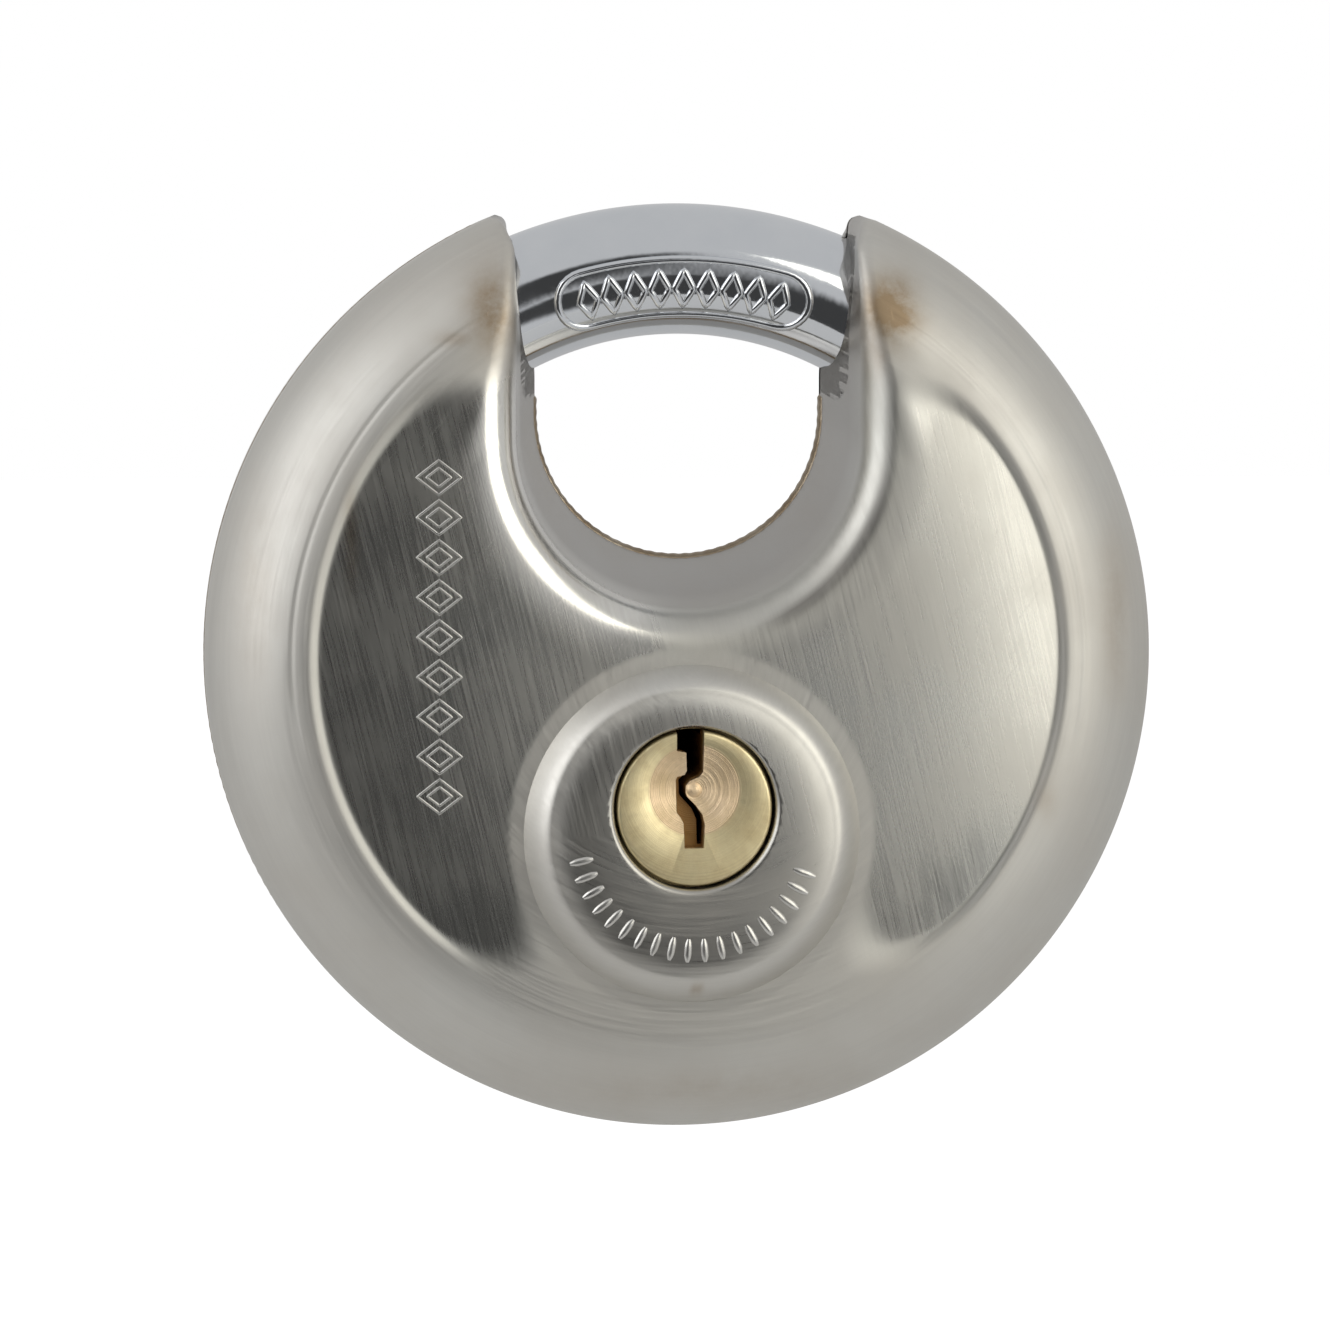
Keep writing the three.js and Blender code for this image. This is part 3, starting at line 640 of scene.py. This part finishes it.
def cartouche():
    """A raised outline with a plain row of lozenges in it."""
    along, across = np.array(racetrack(CARTOUCHE["half_length"], CARTOUCHE["half_height"])).T
    parts = [tube(*on_bar(along, across, BEAD_PROUD), 0.32, 0.28)]
    along, across = lozenge(0.72, 1.4, 24)
    for middle in np.linspace(-CARTOUCHE["lozenge_reach"], CARTOUCHE["lozenge_reach"], 9):
        parts.append(tube(*on_bar(middle + along, across, BEAD_PROUD), 0.28, 0.26, sides=8))
    return joined(parts)


cartouche_beads = piece("shackle_cartouche", *cartouche(), "shackle_bar", "chrome")
soften(cartouche_beads, 60)

# ---- plug ----

PLUG_AXIS = Vector(joints["plug_turn"]["pos_m"])
plug_low, plug_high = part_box("plug")
FACE_Y, END_Y = plug_low.y / MM, plug_high.y / MM
HEAD_RADIUS = 5.65
BODY_RADIUS = 5.2
HEAD_END, BODY_END = -9.3, 4.9
TAIL_RADIUS = 3
PIN_BORE = {"radius": 1.4, "top": -1.2}
DISH = {"radius": 3.3, "depth": 0.5, "z": 1.3}  # turned off centre, above the plug's axis


def plug_profile():
    """The plug's outline from the middle of its face to the end of its tail, as (radius, y) points."""
    edge = 0.3
    rounding = arc(HEAD_RADIUS - edge, FACE_Y + edge, edge, -90, 0, 6)
    head = [(0, FACE_Y), *rounding, (HEAD_RADIUS, HEAD_END)]
    body = [(BODY_RADIUS, HEAD_END), (BODY_RADIUS, BODY_END)]
    return [*head, *body, (TAIL_RADIUS, BODY_END), (TAIL_RADIUS, END_Y), (0, END_Y)]


def dish():
    """The cutter of the dish in the plug's face, with a raised pip in its middle."""
    bottom, top = FACE_Y + DISH["depth"], FACE_Y - 1
    reach = DISH["radius"]
    pip = [(0, bottom - 0.25), (0.3, bottom - 0.2), (0.55, bottom)]
    profile = [(0, top), (reach, top), (reach, FACE_Y), (reach - 0.25, FACE_Y + 0.14), *pip[::-1]]
    return lathe(profile, 96, DISH["z"])


KEYWAY_STEP = 1.5  # depth of the wide keyway in the face, behind which it is narrower
# The two keyways' outlines as (x, z) points
KEYWAY = [
    (-1.3, 6), (-1.3, 4.15), (-0.6, 4.0), (-0.55, 2.7), (-0.7, 2.4), (-1.25, 2.25),
    (-1.35, 2.0), (-1.3, -0.3), (-1.0, -0.7), (-0.8, -1.1), (-0.75, -2.9), (0.65, -2.9),
    (0.75, -1.2), (0.6, -0.5), (0.1, 0.2), (-0.5, 0.8), (-0.6, 1.1), (-0.6, 1.6),
    (-0.3, 1.95), (0.4, 2.25), (0.65, 2.6), (0.7, 6),
]
DEEP_KEYWAY = [
    (-1.3, 6), (-1.3, 4.15), (-0.6, 4.0), (-0.55, 2.7), (-0.7, 2.3), (-1.05, 2.0),
    (-1.0, 0.9), (-0.1, -0.1), (0.25, -0.9), (0.3, -2.7), (0.63, -2.7), (0.73, -1.2),
    (0.58, -0.5), (0.08, 0.2), (-0.52, 0.8), (-0.62, 1.6), (-0.3, 2.0), (0.4, 2.3),
    (0.65, 2.65), (0.7, 6),
]


def upright_rod(radius, y, z0, z1, segments=32):
    turn = np.linspace(0, 2 * math.pi, segments, endpoint=False)
    ring = [(radius * math.cos(t), radius * math.sin(t)) for t in turn]
    points = [(x, y + v, z) for z in (z0, z1) for x, v in ring]
    faces = [list(range(segments))[::-1], list(range(segments, 2 * segments))]
    for i in range(segments):
        j = (i + 1) % segments
        faces.append((i, j, segments + j, segments + i))
    return points, faces


def pin_bores():
    for i in range(1, 5):
        low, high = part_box(f"key_pin_{i}")
        yield upright_rod(PIN_BORE["radius"], (low.y + high.y) / 2 / MM, -HEAD_RADIUS - 1, PIN_BORE["top"])


plug = piece("plug_turned", *lathe(plug_profile(), 128), "plug_and_crank", "brass", ["plug"], PLUG_AXIS)
wide_keyway = extrude(KEYWAY, FACE_Y - 1, FACE_Y + KEYWAY_STEP)
deep_keyway = extrude(DEEP_KEYWAY, FACE_Y + KEYWAY_STEP - 0.5, BODY_END - 0.6)
cut(plug, dish(), wide_keyway, deep_keyway, *pin_bores())
soften(plug, 30)

# ---- weld beads ----


def rim_bead():
    """The weld round the case's edge, from one horn's tip to the other."""
    first = math.degrees(math.acos(THROAT_SEAM["tip"] / CASE_RADIUS))
    turn = np.linspace(181.5 - first, 358.5 + first, 700)
    ripple = 0.012 * np.cos(turn * 4) + 0.008 * np.cos(turn * 9.7)
    reach = CASE_RADIUS - 0.38 + ripple
    out = np.stack([np.cos(np.radians(turn)), 0 * turn, np.sin(np.radians(turn))], -1)
    return tube(out * reach[:, None], out, 0.8, 0.42, closed=False, sides=12)


def throat_bead():
    """The weld round the throat, between its two notched lips."""
    outline = Throat(**THROAT_SEAM)
    share = np.linspace(0, 1, 500)
    x, z = outline.points(share)
    kept = z < LIP_TOP
    x, z = x[kept], z[kept]
    along = np.stack([np.gradient(x), 0 * x, np.gradient(z)], -1)
    out = np.cross(along, (0, 1, 0))
    out /= np.linalg.norm(out, axis=1)[:, None]
    ripple = 0.02 * np.cos(np.arange(len(x)) * 0.9)
    path = np.stack([x, 0 * x, z], -1) - out * (0.22 + ripple)[:, None]
    return tube(path, out, 0.75, 0.4, closed=False, sides=12)


rim_weld = piece("rim_weld_bead", *rim_bead(), "case", "weld", ["rim_weld"])
throat_weld = piece("throat_weld_bead", *throat_bead(), "case", "weld", ["throat_weld"])
for weld in (rim_weld, throat_weld):
    soften(weld, 60)

# ---- stamped marks: plain shapes where the real lock is lettered ----

CRESCENT_STAMP = {"x": -18.3, "top": 13.2, "bottom": -9.8}
BOSS_STAMP = {"inner": 7.6, "outer": 9.3, "start": 193, "end": 340}  # radii, and angles in degrees


def outside_depth(x, z):
    """Depth of the outside from the mid-plane, with the boss."""
    return np.maximum(face_depth(x, z), boss_height(np.maximum(BOSS_BASE - np.hypot(x, z - BOSS_Z), -1)))


def on_face(x, z):
    """A point of the front face and the normal there."""
    x, z = np.asarray(x, float), np.asarray(z, float)
    step = 0.05
    depth = outside_depth(x, z)
    slope_x = (outside_depth(x + step, z) - depth) / step
    slope_z = (outside_depth(x, z + step) - depth) / step
    normal = np.stack([-slope_x, -np.ones_like(x), -slope_z], -1)
    normal /= np.linalg.norm(normal, axis=-1)[..., None]
    return np.stack([x, -depth, z], -1), normal


def crescent_stamp():
    """A chain of outlined lozenges down the left crescent flat."""
    parts = []
    for middle in np.linspace(CRESCENT_STAMP["top"], CRESCENT_STAMP["bottom"], 9):
        for scale in (1, 0.55):
            x, z = lozenge(1.6 * scale, 1.25 * scale, 32)
            parts.append(tube(*on_face(CRESCENT_STAMP["x"] + x, middle + z), 0.09, 0.04, sides=8))
    return joined(parts)


def boss_stamp():
    """Short bars set round the lower half of the boss."""
    parts = []
    reach = np.linspace(BOSS_STAMP["inner"], BOSS_STAMP["outer"], 9)
    for turn in np.radians(np.linspace(BOSS_STAMP["start"], BOSS_STAMP["end"], 19)):
        x, z = reach * math.cos(turn), BOSS_Z + reach * math.sin(turn)
        parts.append(tube(*on_face(x, z), 0.27, 0.14, closed=False, sides=8))
    return joined(parts)


stamps = [
    piece("crescent_stamp", *crescent_stamp(), "case", "stainless"),
    piece("boss_stamp", *boss_stamp(), "case", "stainless"),
]
for stamp in stamps:
    soften(stamp, 60)

# ---- materials ----


class Graph:
    """A metal's node tree, with short calls for the nodes it uses."""

    def __init__(self, name, roughness, metallic=1.0):
        self.material = bpy.data.materials.new(name)
        self.material.use_nodes = True
        self.tree = self.material.node_tree
        self.shader = self.tree.nodes["Principled BSDF"]
        self.shader.inputs["Metallic"].default_value = metallic
        self.shader.inputs["Roughness"].default_value = roughness
        self.place = self.node("TexCoord").outputs["Object"]

    def node(self, kind, inputs=None, **settings):
        made = self.tree.nodes.new("ShaderNode" + kind)
        for name, value in settings.items():
            setattr(made, name, value)
        for key, value in (inputs or {}).items():
            self.feed(made.inputs[key], value)
        return made

    def feed(self, socket, value):
        if isinstance(value, bpy.types.NodeSocket):
            self.tree.links.new(value, socket)
        else:
            socket.default_value = value

    def math(self, operation, a, b=0.0):
        return self.node("Math", {0: a, 1: b}, operation=operation).outputs[0]

    def vector(self, operation, a, b):
        return self.node("VectorMath", {0: a, 1: b}, operation=operation).outputs[0]

    def blend(self, share, a, b):
        return self.node("Mix", {0: share, 6: a, 7: b}, data_type="RGBA").outputs[2]

    def lerp(self, share, a, b):
        return self.node("Mix", {0: share, 2: a, 3: b}).outputs[0]

    def spread(self, value, low, high, to_low=0.0, to_high=1.0):
        """A number brought from one range into another, and held in it."""
        inputs = {0: value, 1: low, 2: high, 3: to_low, 4: to_high}
        return self.node("MapRange", inputs).outputs[0]

    def read(self, name):
        found = self.node("Attribute", attribute_name=name)
        return found.outputs["Fac"], found.outputs["Vector"]

    def noise(self, vector, scale=1.0, detail=3.0, roughness=0.55):
        inputs = {"Vector": vector, "Scale": scale, "Detail": detail, "Roughness": roughness}
        return self.node("TexNoise", inputs).outputs["Fac"]

    def streaks(self, vector, stretch, detail=4.0):
        """Noise drawn out along one direction. stretch is cycles per unit of the vector on each axis."""
        return self.noise(self.vector("MULTIPLY", vector, stretch), 1.0, detail, 0.65)

    def bump(self, height, distance, below=None):
        inputs = {"Height": height, "Distance": distance, "Strength": 1.0}
        if below is not None:
            inputs["Normal"] = below
        return self.node("Bump", inputs).outputs[0]

    def finish(self, color=None, roughness=None, normal=None):
        for key, value in (("Base Color", color), ("Roughness", roughness), ("Normal", normal)):
            if value is not None:
                self.feed(self.shader.inputs[key], value)
        return self.material


def rgba(color):
    return (*color, 1.0)


def tilted(graph, degrees):
    """The object's coordinates turned in the plane of the face."""
    inputs = {"Vector": graph.place, "Rotation": (0, math.radians(degrees), 0)}
    return graph.node("Mapping", inputs).outputs[0]


def sheet_steel():
    """Brushed stainless: round the rim, and up and down the crescent flats."""
    g = Graph("brushed_stainless", 0.3)
    _, tone = g.read("tone")
    rough, _ = g.read("rough")
    tint, _ = g.read("tint")
    is_round, _ = g.read("round_brushed")
    _, ring = g.read("ring")
    round_brush = g.streaks(ring, (5.0, 0.09, 1.5))
    flat_brush = g.streaks(tilted(g, 14), (6500, 1000, 130))
    brush = g.lerp(is_round, flat_brush, round_brush)
    scratches = g.spread(g.streaks(tilted(g, -38), (9000, 1000, 90), 2.0), 0.66, 0.74)
    cloud = g.noise(g.place, 90, 4.0)
    fine = g.noise(g.place, 5200, 2.0)
    patchy = g.noise(g.place, 420, 5.0, 0.7)
    heat = g.math("MULTIPLY", tint, g.spread(patchy, 0.3, 0.62, 0.45, 1.0))
    base = g.blend(g.spread(cloud, 0.3, 0.7, 0.0, 0.35), tone, rgba((0.56, 0.52, 0.47)))
    base = g.blend(g.spread(brush, 0.25, 0.75, 0.13, 0.0), base, rgba((0.2, 0.19, 0.17)))
    base = g.blend(heat, base, rgba((0.34, 0.255, 0.165)))
    roughness = g.math("ADD", rough, g.spread(brush, 0.3, 0.7, -0.05, 0.07))
    roughness = g.math("ADD", roughness, g.spread(cloud, 0.35, 0.65, -0.03, 0.05))
    normal = g.bump(brush, 3.5e-6)
    normal = g.bump(fine, 2.5e-6, normal)
    normal = g.bump(scratches, 2e-6, normal)
    return g.finish(base, roughness, normal)


def weld_steel():
    """Ground weld bead with brown heat colours."""
    g = Graph("weld_bead", 0.42)
    cloud = g.noise(g.place, 260, 5.0, 0.65)
    color = g.blend(g.spread(cloud, 0.35, 0.65), rgba((0.42, 0.36, 0.28)), rgba((0.27, 0.2, 0.13)))
    normal = g.bump(g.noise(g.place, 1800, 4.0), 2.5e-5)
    return g.finish(color, g.spread(cloud, 0.3, 0.7, 0.34, 0.5), normal)


def chrome_plate():
    """Bright plating with faint hairlines and smudges."""
    g = Graph("bright_chrome", 0.08)
    smudge = g.noise(g.place, 240, 4.0)
    hair = g.spread(g.streaks(tilted(g, 75), (7000, 1500, 160), 2.0), 0.62, 0.72)
    dull = g.spread(smudge, 0.3, 0.7, 0.0, 0.5)
    color = g.blend(dull, rgba((0.74, 0.76, 0.79)), rgba((0.66, 0.69, 0.73)))
    roughness = g.math("ADD", g.spread(smudge, 0.4, 0.75, 0.06, 0.14), g.math("MULTIPLY", hair, 0.05))
    return g.finish(color, roughness, g.bump(g.noise(g.place, 420, 3.0), 1.2e-5))


def turned_brass():
    """Brass with fine lathe marks about its own axis, rosier in the dish and tarnished in the keyway."""
    g = Graph("turned_brass", 0.28)
    flat_place = g.vector("SUBTRACT", g.vector("MULTIPLY", g.place, (1000, 0, 1000)), (0, 0, DISH["z"]))
    reach = g.node("VectorMath", {0: flat_place}, operation="LENGTH").outputs["Value"]
    rings = g.noise(g.node("CombineXYZ", {0: reach}).outputs[0], 9.0, 3.0, 0.7)
    in_dish = g.spread(reach, DISH["radius"] - 0.1, DISH["radius"] + 0.1, 1.0, 0.0)
    cloud = g.noise(g.place, 700, 4.0, 0.6)
    color = g.blend(in_dish, rgba((0.95, 0.83, 0.52)), rgba((0.98, 0.77, 0.52)))
    color = g.blend(g.spread(cloud, 0.4, 0.75, 0.0, 0.5), color, rgba((0.45, 0.34, 0.17)))
    color = g.blend(g.spread(rings, 0.3, 0.6, 0.25, 0.0), color, rgba((0.35, 0.24, 0.1)))
    depth = g.node("SeparateXYZ", {0: g.place}).outputs["Y"]
    tarnish = g.spread(depth, (FACE_Y + 0.6) * MM, (FACE_Y + 1.2) * MM)
    color = g.blend(tarnish, color, rgba((0.34, 0.19, 0.06)))
    g.feed(g.shader.inputs["Metallic"], g.lerp(tarnish, 1.0, 0.35))
    roughness = g.spread(cloud, 0.3, 0.7, 0.38, 0.5)
    marks = g.math("MULTIPLY", rings, g.spread(in_dish, 0, 1, 0.35, 1.3))
    return g.finish(color, roughness, g.bump(marks, 4.5e-5))


def plain_metal(name, light, dark, roughness, grain):
    """An unseen piece's metal: mottled colour, uneven gloss and a fine grain."""
    g = Graph(name, roughness)
    cloud = g.noise(g.place, 300, 5.0, 0.6)
    color = g.blend(g.spread(cloud, 0.3, 0.7), rgba(light), rgba(dark))
    gloss = g.spread(cloud, 0.3, 0.7, roughness - 0.08, roughness + 0.1)
    return g.finish(color, gloss, g.bump(g.noise(g.place, 2600, 4.0), grain))


def dress(made, material):
    made.data.materials.clear()
    made.data.materials.append(material)


steel = sheet_steel()
welds = weld_steel()
chrome = chrome_plate()
brass = turned_brass()
for made in (front_shell, rear_shell):
    dress(made, steel)
stamp_steel = plain_metal("stamped_stainless", (0.72, 0.71, 0.68), (0.6, 0.59, 0.56), 0.3, 4e-6)
for made in stamps:
    dress(made, stamp_steel)
for made in (rim_weld, throat_weld):
    dress(made, welds)
for made in (shackle, cartouche_beads):
    dress(made, chrome)
dress(plug, brass)

inner_metals = {
    "brass": plain_metal("plain_brass", (0.74, 0.59, 0.32), (0.58, 0.44, 0.22), 0.36, 8e-6),
    "hard_steel": plain_metal("hardened_steel", (0.36, 0.36, 0.38), (0.22, 0.22, 0.23), 0.42, 8e-6),
    "zinc": plain_metal("cast_zinc", (0.34, 0.34, 0.35), (0.22, 0.22, 0.23), 0.58, 2.5e-5),
    "stainless": steel,
    "chrome": chrome,
    "weld": welds,
}
for subpart in frame["record"]["subparts"]:
    dress(frame["nodes"][subpart["node"]], inner_metals[subpart["material_slot"]])

# ---- camera ----

YAW = math.radians(-6)
PITCH = math.radians(3.4)
DISTANCE = 0.43
SEEN_WIDTH = 0.0985  # of the plane through the lock, across the picture
LOOK_LEFT = 0.9 * MM
LOOK_DOWN = 1.0 * MM

camera = bpy.data.objects.new("camera", bpy.data.cameras.new("camera"))
bpy.context.scene.collection.objects.link(camera)
bpy.context.scene.camera = camera
camera.data.sensor_width = 36
camera.data.lens = 36 * DISTANCE / SEEN_WIDTH
back = Vector((math.sin(YAW) * math.cos(PITCH), -math.cos(YAW) * math.cos(PITCH), math.sin(PITCH)))
camera.rotation_mode = "QUATERNION"
camera.rotation_quaternion = back.to_track_quat("Z", "Y")
right = camera.rotation_quaternion @ Vector((1, 0, 0))
up = camera.rotation_quaternion @ Vector((0, 1, 0))
camera.location = CENTRE + back * DISTANCE - right * LOOK_LEFT - up * LOOK_DOWN
camera.data.clip_start = 0.01

# ---- floor and light ----

FLOOR_Z = -0.125
TABLE_FRONT = -0.12


def floor():
    """A pale table that ends a little in front of the lock, so that dark room shows in the metal."""
    corners = [(-3, TABLE_FRONT), (3, TABLE_FRONT), (3, 4), (-3, 4)]
    mesh = bpy.data.meshes.new("floor")
    mesh.from_pydata([(x, y, FLOOR_Z) for x, y in corners], [], [(0, 1, 2, 3)])
    made = bpy.data.objects.new("floor", mesh)
    bpy.context.scene.collection.objects.link(made)
    g = Graph("pale_floor", 0.7, 0.0)
    g.shader.inputs["Emission Color"].default_value = (1, 1, 1, 1)
    seen = g.node("LightPath").outputs["Is Camera Ray"]
    g.feed(g.shader.inputs["Emission Strength"], g.lerp(seen, 0.0, 0.6))
    dress(made, g.finish(rgba((0.75, 0.75, 0.75))))


def softbox(name, azimuth, elevation, width, height, radiance, color=(1, 1, 1), distance=0.7):
    """An area light that faces the lock. Azimuth 0 is in front and 90 to the right, in degrees."""
    a, e = math.radians(azimuth), math.radians(elevation)
    toward = Vector((math.sin(a) * math.cos(e), -math.cos(a) * math.cos(e), math.sin(e)))
    data = bpy.data.lights.new(name, "AREA")
    data.shape, data.size, data.size_y = "RECTANGLE", width, height
    data.energy = radiance * math.pi * width * height
    data.color = color
    made = bpy.data.objects.new(name, data)
    bpy.context.scene.collection.objects.link(made)
    made.location = CENTRE + toward * distance
    made.rotation_mode = "QUATERNION"
    made.rotation_quaternion = toward.to_track_quat("Z", "Y")
    made.visible_camera = False


# Dark parts of the room in front, in degrees: round from the front to the left and right, and up
DARK_ZONES = [(-34, 7, 28), (-62, 22, -10)]
ZONE_EDGE = 6
ROOM = {"light": 0.6, "dark": 0.055}


def room():
    """Even light all round but for the dark room in front, and plain white where the camera looks."""
    world = bpy.data.worlds.new("room")
    bpy.context.scene.world = world
    world.use_nodes = True
    nodes, links = world.node_tree.nodes, world.node_tree.links

    def node(kind, *inputs, **settings):
        made = nodes.new("ShaderNode" + kind)
        for name, value in settings.items():
            setattr(made, name, value)
        for socket, value in zip(made.inputs, inputs):
            if isinstance(value, bpy.types.NodeSocket):
                links.new(value, socket)
            elif value is not None:
                socket.default_value = value
        return made

    def step(value, edge, falling):
        low, high = (math.radians(edge + side * ZONE_EDGE / 2) for side in (-1, 1))
        ends = (1.0, 0.0) if falling else (0.0, 1.0)
        return node("MapRange", value, low, high, *ends, interpolation_type="SMOOTHSTEP").outputs[0]

    def combined(operation, a, b):
        return node("Math", a, b, operation=operation).outputs[0]

    direction = node("SeparateXYZ", node("TexCoord").outputs["Generated"])
    x, y, z = direction.outputs
    azimuth = combined("ARCTAN2", x, combined("MULTIPLY", y, -1.0))
    elevation = node("Math", z, operation="ARCSINE").outputs[0]
    dark = 0.0
    for left, right, top in DARK_ZONES:
        across = combined("MULTIPLY", step(azimuth, left, False), step(azimuth, right, True))
        dark = combined("MAXIMUM", dark, combined("MULTIPLY", across, step(elevation, top, True)))
    level = node("MapRange", dark, 0.0, 1.0, ROOM["light"], ROOM["dark"]).outputs[0]
    background = nodes["Background"]
    seen = node("Mix", node("LightPath").outputs["Is Camera Ray"], None, level, 1.0).outputs[0]
    links.new(seen, background.inputs["Strength"])
    background.inputs["Color"].default_value = (1, 1, 1, 1)


floor()
room()
softbox("left_box", -64, 20, 0.55, 0.6, 1.4)
softbox("right_box", 40, 14, 0.55, 0.6, 1.47, (1, 0.965, 0.85))
scene = bpy.context.scene
scene.view_settings.view_transform = "Standard"
scene.cycles.use_denoising = True
